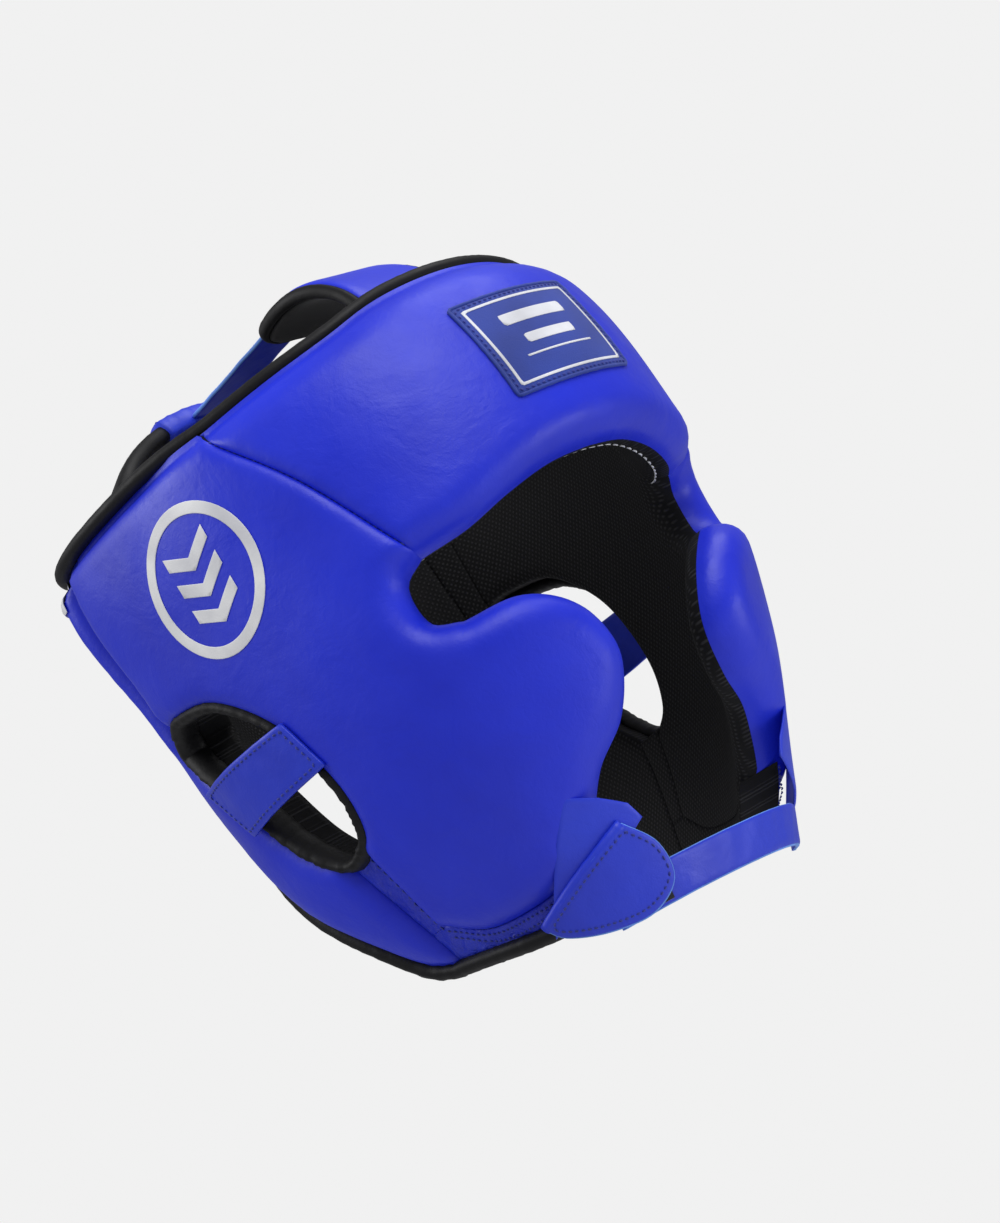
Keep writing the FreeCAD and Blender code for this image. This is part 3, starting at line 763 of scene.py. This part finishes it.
hole_path = hole_path + inwards / np.linalg.norm(inwards, axis=1)[:, None] * 2.0
ear_ring = edge_tube(hole_path, EAR_RING_INSET, 3.3, 6.0, closed=True, gathers=0.13, seed=8.0)
add_both("ear_hole_binding", ear_ring, binding_tape, ["ear_binding"])


# ---- leather band over each ear hole ----
def quad(corners, step=2.2):
    c = laid(corners)
    return np.vstack([spline([c[k], c[(k + 1) % len(c)]], step)[:-1] for k in range(len(c))])


def inset_loop(loop, by):
    """A closed flat outline moved inwards."""
    tangent = np.roll(loop, -1, 0) - np.roll(loop, 1, 0)
    side = np.stack([-tangent[:, 1], tangent[:, 0]], 1)
    side /= np.linalg.norm(side, axis=1)[:, None]
    area = (loop[:, 0] * np.roll(loop[:, 1], -1) - np.roll(loop[:, 0], -1) * loop[:, 1]).sum()
    moved = loop + side * by * np.sign(area)
    return moved[distance(moved, np.vstack([loop, loop[:1]])) > 0.9 * by]


strap_loop = quad(EAR_STRAP)


def over_hole(points):
    """The band bulges outwards between its two sewn ends."""
    c = laid(EAR_STRAP)
    first, last = (c[0] + c[1]) / 2, (c[2] + c[3]) / 2
    t = np.clip((points - first) @ (last - first) / ((last - first) ** 2).sum(), 0, 1)
    return -2.6 * np.sin(t * math.pi) + 0.3 * ripple(points, 7, 3.0)


add_both("ear_strap_band", slab(strap_loop, -1.6, 0.7, under=over_hole, grid=2.2, edge=0.5),
         strap_leather, ["ear_strap"])
strap_stitch = inset_loop(strap_loop, 2.4)
add_both("ear_strap_stitching", stitches([np.vstack([strap_stitch, strap_stitch[:1]])],
                                         under=lambda p: over_hole(p) - 1.6), blue_thread)


# ---- labels, emblem, tag ----
def label_pieces(name, node, size, place, under, body):
    """A woven label: cloth, whipped edge, pale border, plain bars and a row of stitches."""
    width, height, middle = size

    def box_loop(margin):
        return rounded_outline(width / 2 - margin, middle - height / 2 + margin,
                               middle + height / 2 - margin, max(0.6, 1.8 - margin), 1.6)

    add_piece(name + "_cloth", slab(box_loop(0.8), -1.0, -0.1, place, under), label_cloth, body,
              [node])
    edge = box_loop(0.5)
    level = under(edge)
    path = place(edge, level - 0.6)
    out = place(edge, level - 1.6) - path
    add_piece(name + "_whipped_edge", tube(path, out, 0.8, 0.75, True, 8, 0.25, 2.0),
              label_cloth, body)
    border = box_loop(3.6)
    add_piece(name + "_border", slab(border, -1.25, -0.9, place, under, grid=3.0,
                                     holes=[box_loop(4.8)], edge=0.1), pale_thread, body)
    bars = [slab(rounded_outline(width * share, middle + low, middle + low + tall, 0.4, 1.6),
                 -1.2, -0.9, place, under, grid=3.0, edge=0.1)
            for share, low, tall in ((0.27, height * 0.14, 5.5), (0.21, -height * 0.08, 4.5),
                                     (0.29, -height * 0.2, 0.9))]
    add_piece(name + "_bars", joined(bars), pale_thread, body)
    line = box_loop(2.0)
    add_piece(name + "_stitching", stitches([np.vstack([line, line[:1]])], place,
                                            lambda p: under(p) - 1.0, pitch=2.6), blue_thread,
              body)


def forehead_drop(points):
    x, z = points[:, 0], points[:, 1]
    y = on_front(points, 0.0)[:, 1]
    return forehead.drops(np.stack([np.degrees(np.arctan2(-x, -y)) * ARC, z], 1))[0]


label_pieces("front_label", "forehead_label", FOREHEAD_LABEL, on_front, forehead_drop, "shell")
label_pieces("back_label", "rear_label", REAR_LABEL, on_rear, lambda p: closure.drops(p)[0],
             "rear_closure")


def disc_loop(radius, centre=(0.0, 0.0)):
    turn = np.linspace(0, 2 * math.pi, 60, endpoint=False)
    return np.stack([centre[0] + radius * np.cos(turn), centre[1] + radius * np.sin(turn)], 1)


def chevron(low, width, rise, thick):
    return spline_corners([(-width, low + rise), (0, low), (width, low + rise),
                           (width, low + rise + thick), (0, low + thick),
                           (-width, low + rise + thick)])


def spline_corners(points, step=2.0):
    p = np.array(points, float)
    return np.vstack([spline([p[k], p[(k + 1) % len(p)]], step)[:-1] for k in range(len(p))])


emblem_at = laid([(EMBLEM_ANGLE, EMBLEM_HEIGHT)])[0]
side_drop = lambda p: side.drops(p)[0]
emblem_parts = [slab(disc_loop(EMBLEM_OUTER) + emblem_at, -0.35, -0.05, under=side_drop, grid=3.0,
                     holes=[disc_loop(EMBLEM_INNER) + emblem_at], edge=0.05)]
for low in (-19.0, -7.0, 5.0):
    emblem_parts.append(slab(chevron(low, *CHEVRON) + emblem_at, -0.35, -0.05,
                             under=side_drop, grid=3.0, edge=0.05))
add_both("emblem_film", joined(emblem_parts), white_film, ["side_emblem"])
tag_loop = quad(((136.5, 256.5), (144, 256.5), (144, 246), (136.5, 246)))
add_piece("blank_size_tag", slab(tag_loop, -1.2, -0.5, under=lambda p: wing.drops(p)[0] * 0.9,
                                 grid=2.5), white_film, "shell", ["size_tag"])


# ---- chin ----
collar_loop = spline_corners(laid(CHIN_COLLAR))
add_both("chin_collar_leather", slab(collar_loop, 0.2, 1.7, under=lambda p: np.zeros(len(p)),
                                     grid=2.4), strap_leather, ["chin_collar"])
flap_edge, flap_root = run(CHIN_FLAP_EDGE), run(CHIN_FLAP_ROOT)
flap_loop = np.vstack([flap_edge[:-1], flap_root[:-1]])
flat_zero = lambda p: 0.35 * ripple(p, 14, 6.0)
add_piece("chin_flap_leather", slab(flap_loop, -CHIN_SOLE - 0.5, -0.7, under=flat_zero, grid=2.4),
          strap_leather, "chin_flap", ["chin_flap"])


def cut_edge(name, loop, outer, inner, under, body, place=on_wall):
    """The pale core of thick leather, seen round its cut edge."""
    middle = under(loop) + (outer + inner) / 2
    path = place(loop, middle)
    return add_piece(name, tube(path, place(loop, middle - 1.0) - path, 0.45,
                                (inner - outer) / 2 - 0.35, True, 8),
                     cut_leather, body)


cut_edge("chin_flap_cut_edge", flap_loop, -CHIN_SOLE - 0.5, -0.7, flat_zero, "chin_flap")
flap_stitch = inset_loop(flap_loop, 2.6)
add_piece("chin_flap_stitching",
          stitches([np.vstack([flap_stitch, flap_stitch[:1]])],
                   under=lambda p: flat_zero(p) - CHIN_SOLE - 0.5), blue_thread, "chin_flap")
welt = on_wall(flap_root, np.full(len(flap_root), -1.6))
add_piece("chin_flap_welt", tube(welt, wall_normals(flap_root, -1.6), 2.4, 1.6, gathers=0.08),
          strap_leather, "shell")


def chin_band(first, last):
    low = level_flat(CHIN_LOW, first, last)
    high = level_flat(CHIN_HIGH, last, first)
    return np.vstack([low[:-1], spline([low[-1], high[0]])[:-1], high[:-1],
                      spline([high[-1], low[0]])[:-1]])


def level_flat(height, first, last):
    return spline([(first * ARC, height), (last * ARC, height)])


strap_under = lambda p: 0.5 * ripple(p, 12, 4.0)
chin_loop = chin_band(-56, 48)
for piece in (
        add_piece("chin_strap_leather", slab(chin_loop, 2.0, 4.7, under=strap_under, grid=2.4),
                  strap_leather, None, ["chin_strap", "chin_strap_tail"]),
        cut_edge("chin_strap_cut_edge", chin_loop, 2.0, 4.7, strap_under, None)):
    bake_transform(piece)


# ---- crown pad ----
def on_crown(flat, inset):
    """x across, s along the pad's outer profile from the rear end of its arc."""
    x, s = flat[:, 0], flat[:, 1]
    inset = np.broadcast_to(np.asarray(inset, float), s.shape)
    start, end = math.radians(CROWN_FROM), math.radians(CROWN_TO)
    arc = CROWN_RADIUS * (end - start)
    turn = start + np.clip(s, None, arc) / CROWN_RADIUS
    past = np.clip(s - arc, 0, None)
    radius = CROWN_RADIUS - inset
    y = CROWN_Y + radius * np.cos(turn)
    z = CROWN_Z + radius * np.sin(turn)
    return np.stack([x, y - past * math.sin(end), z + past * math.cos(end)], 1)


crown_arc = CROWN_RADIUS * math.radians(CROWN_TO - CROWN_FROM)
crown_length = crown_arc + CROWN_RUN


def crown_half(z):
    return CROWN_WIDE + (z - 225) / 90 * (CROWN_NARROW - CROWN_WIDE)


def crown_outline(margin, ends=2.0):
    s = np.linspace(ends, crown_length - 2, 50)
    z = on_crown(np.stack([np.zeros(50), s], 1), 0.0)[:, 2]
    half = crown_half(z) - margin
    bulge = np.clip((s - ends) / 10, 0, 1)
    half = half * (0.55 + 0.45 * np.sqrt(1 - (1 - bulge) ** 2))
    right = np.stack([half, s], 1)
    loop = np.vstack([right, (right * (-1, 1))[::-1]])
    return resampled(np.vstack([loop, loop[:1]]), 2.4, True)


crown_loop = crown_outline(2.6)
crown = Panel([(np.vstack([crown_loop, crown_loop[:1]]), "crown")], on_crown, pad=8.4, middle=5.0,
              crumple=0.3, seed=9.0)
crown_top, crown_under = crown.shapes()
add_piece("crown_pad_leather", crown_top, leather, "shell",
          ["crown_pad_cover", "crown_pad_foam"])
add_piece("crown_pad_mesh_face", crown_under, mesh_cloth, "shell",
          ["crown_pad_mesh"])
piping_line = crown_outline(1.5)
piping_path = on_crown(piping_line, 4.2)
add_piece("crown_pad_edge_piping",
          tube(piping_path, on_crown(piping_line, 3.2) - piping_path, 1.9, 3.0, True,
               gathers=0.05), binding_tape, "shell", ["crown_pad_piping"])

# ---- crown arch, sleeve, tail and strap ----
arch_radius = (ARCH_BASE_X**2 + ARCH_RISE**2) / (2 * ARCH_RISE)
lean = math.radians(ARCH_LEAN)


def on_arch(flat, inset):
    """y across the strap, s along the arch from its top, towards the wearer's right."""
    turn = flat[:, 1] / arch_radius
    radius = arch_radius - np.asarray(inset, float)
    x = -radius * np.sin(turn)
    z = radius * np.cos(turn) + ARCH_RISE - arch_radius
    y = flat[:, 0]
    return np.stack([x, y * math.cos(lean) + z * math.sin(lean) + ARCH_BASE_Y,
                     -y * math.sin(lean) + z * math.cos(lean) + ARCH_BASE_Z], 1)


def arch_tube(half_run, wide, thick, inset, step=2.5, gathers=0.02, square=0.55):
    s = np.arange(-half_run, half_run + 0.1, step)
    line = np.stack([np.zeros(len(s)), s], 1)
    path = on_arch(line, inset)
    return tube(path, path - on_arch(line, inset + 1.0), wide / 2, thick / 2, False, 20, gathers,
                4.0, square)


arch_sweep = math.asin(ARCH_BASE_X / arch_radius) * arch_radius
add_piece("crown_arch_band", arch_tube(arch_sweep + 6, ARCH_WIDTH, ARCH_THICK, ARCH_THICK / 2),
          binding_tape, "shell", ["crown_arch"])
sleeve_half = SLEEVE_LENGTH / 2
add_piece("crown_sleeve_leather", arch_tube(sleeve_half, ARCH_WIDTH + 3.6, ARCH_THICK + 3.4,
                                            ARCH_THICK / 2, 2.0, 0.04, 0.45),
          strap_leather, "shell", ["crown_sleeve"])
rows = [np.array([(-9.5, s), (9.5, s)]) for s in (-sleeve_half + 3, sleeve_half - 3)]
add_piece("crown_sleeve_stitching", stitches(rows, on_arch, lambda p: np.full(len(p), -1.6)),
          blue_thread, "shell")

for name in ("crown_tail", "crown_strap"):
    low, high = (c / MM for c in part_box(name))
    if name == "crown_tail":
        top, bottom = np.array([0, low.y + 1.4, high.z]), np.array([0, high.y - 1.2, low.z])
    else:
        top, bottom = np.array([0, high.y, high.z - 3]), np.array([0, low.y, high.z - 1.6])
    ahead = (bottom - top) / np.linalg.norm(bottom - top)
    out = np.cross(np.array([1.0, 0, 0]), ahead)
    if out @ np.array([0, 0.4, 1.0]) < 0:
        out = -out
    half, length = (high.x - low.x) / 2, np.linalg.norm(bottom - top)

    def on_strip(flat, inset, top=top, ahead=ahead, out=out):
        flat = np.asarray(flat)
        inset = np.broadcast_to(np.asarray(inset, float), len(flat))
        return (top + flat[:, :1] * (1, 0, 0) + flat[:, 1:] * ahead - inset[:, None] * out)

    loop = rounded_outline(half, 0, length, 1.5, 2.0)
    sag = lambda p: 0.25 * ripple(p, 8, 2.0)
    body = "crown_tail" if name == "crown_tail" else "shell"
    add_piece(name + "_leather", slab(loop, -1.2, 1.2, on_strip, sag, 2.2), strap_leather, body,
              [name])
    cut_edge(name + "_cut_edge", loop, -1.2, 1.2, sag, body, on_strip)
    edges = [np.array([(x, 1.5), (x, length - 1.5)]) for x in (-half + 2.2, half - 2.2)]
    add_piece(name + "_stitching", stitches(edges, on_strip, lambda p: sag(p) - 1.2), blue_thread,
              body)

# ---- stitching on the shell ----
for name, lines, under in (
        ("pad_seam_stitching", [seam[3:-4]], lambda p: np.full(len(p), 3.4)),
        ("seam_strip_stitching", [side_rear + (4.0, 0), wing_front - (4.0, 0)],
         lambda p: rear_strip.drops(p)[0]),
        ("lower_strip_stitching", [lower_front + (2.5, 0)], lambda p: lower_strip.drops(p)[0]),
        ("channel_stitching", [run(CHANNEL) - (0, 2.5), run(CHANNEL) - (0, 6.0)],
         lambda p: band.drops(p)[0])):
    add_both(name, stitches(lines, under=under), blue_thread)

add_piece("brow_lining_stitching",
          stitches([np.vstack([mirror_line(brow), brow[1:]]) + (0, 1.3)],
                   under=lambda p: forehead.drops(p)[1] + 0.4, pitch=5.5), pale_thread, "shell")

# ---- CAD nodes that stay in view get cloth or tape finishes ----
finishes = {"hook": hook_tape, "loop": hook_tape, "anchor": binding_tape, "tab": binding_tape}
for node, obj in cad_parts.items():
    look = next((m for key, m in finishes.items() if key in node), None)
    if look and not obj.hide_render:
        obj.data.materials.clear()
        obj.data.materials.append(look)

# ---- floor, light and camera ----
FLOOR_Z = -0.5
bpy.ops.mesh.primitive_plane_add(size=6, location=(0, 0, FLOOR_Z))
floor = bpy.context.object
floor.name = "floor"
pale, _, _, _ = material("pale_floor", (0.88, 0.88, 0.88), 0.9)
floor.data.materials.append(pale)

scene = bpy.context.scene
scene.view_settings.view_transform = "Standard"
world = bpy.data.worlds.new("studio")
world.use_nodes = True
sky, links = world.node_tree.nodes, world.node_tree.links
sky["Background"].inputs["Color"].default_value = (0.30, 0.30, 0.31, 1)
backdrop = sky.new("ShaderNodeBackground")
backdrop.inputs["Color"].default_value = (0.879, 0.879, 0.879, 1)
seen, pick = sky.new("ShaderNodeLightPath"), sky.new("ShaderNodeMixShader")
links.new(seen.outputs["Is Camera Ray"], pick.inputs["Fac"])
links.new(sky["Background"].outputs[0], pick.inputs[1])
links.new(backdrop.outputs[0], pick.inputs[2])
links.new(pick.outputs[0], sky["World Output"].inputs["Surface"])
scene.world = world

AXES = Matrix(((.6822, .2561, -.6848), (-.5351, -.4635, -.7063), (-.4983, .8482, -.1791)))
camera = bpy.data.objects.new("camera", bpy.data.cameras.new("camera"))
scene.collection.objects.link(camera)
camera.matrix_world = Matrix.Translation((-0.9156, -0.9443, -0.0995)) @ AXES.to_4x4()
camera.data.sensor_width = 36
camera.data.lens = 94.1
camera.data.shift_x, camera.data.shift_y = 0.0195, 0.034
scene.camera = camera

right_of_view, up_of_view, back_of_view = (AXES.col[k] for k in range(3))
for name, (right, up, back), size, power in (
        ("key", (-0.2, 1.1, 0.7), 0.9, 10.0), ("fill", (1.1, 0.0, 0.5), 0.6, 5.0),
        ("top", (0.1, 1.3, -0.2), 0.7, 5.0), ("rim", (-1.2, 0.1, -0.1), 0.6, 4.5)):
    light = bpy.data.objects.new(name, bpy.data.lights.new(name, "AREA"))
    scene.collection.objects.link(light)
    light.data.size = size
    light.data.energy = power
    middle = Vector((0, 0, 0.15))
    light.location = middle + right_of_view * right + up_of_view * up + back_of_view * back
    light.rotation_euler = (middle - light.location).to_track_quat("-Z", "Y").to_euler()
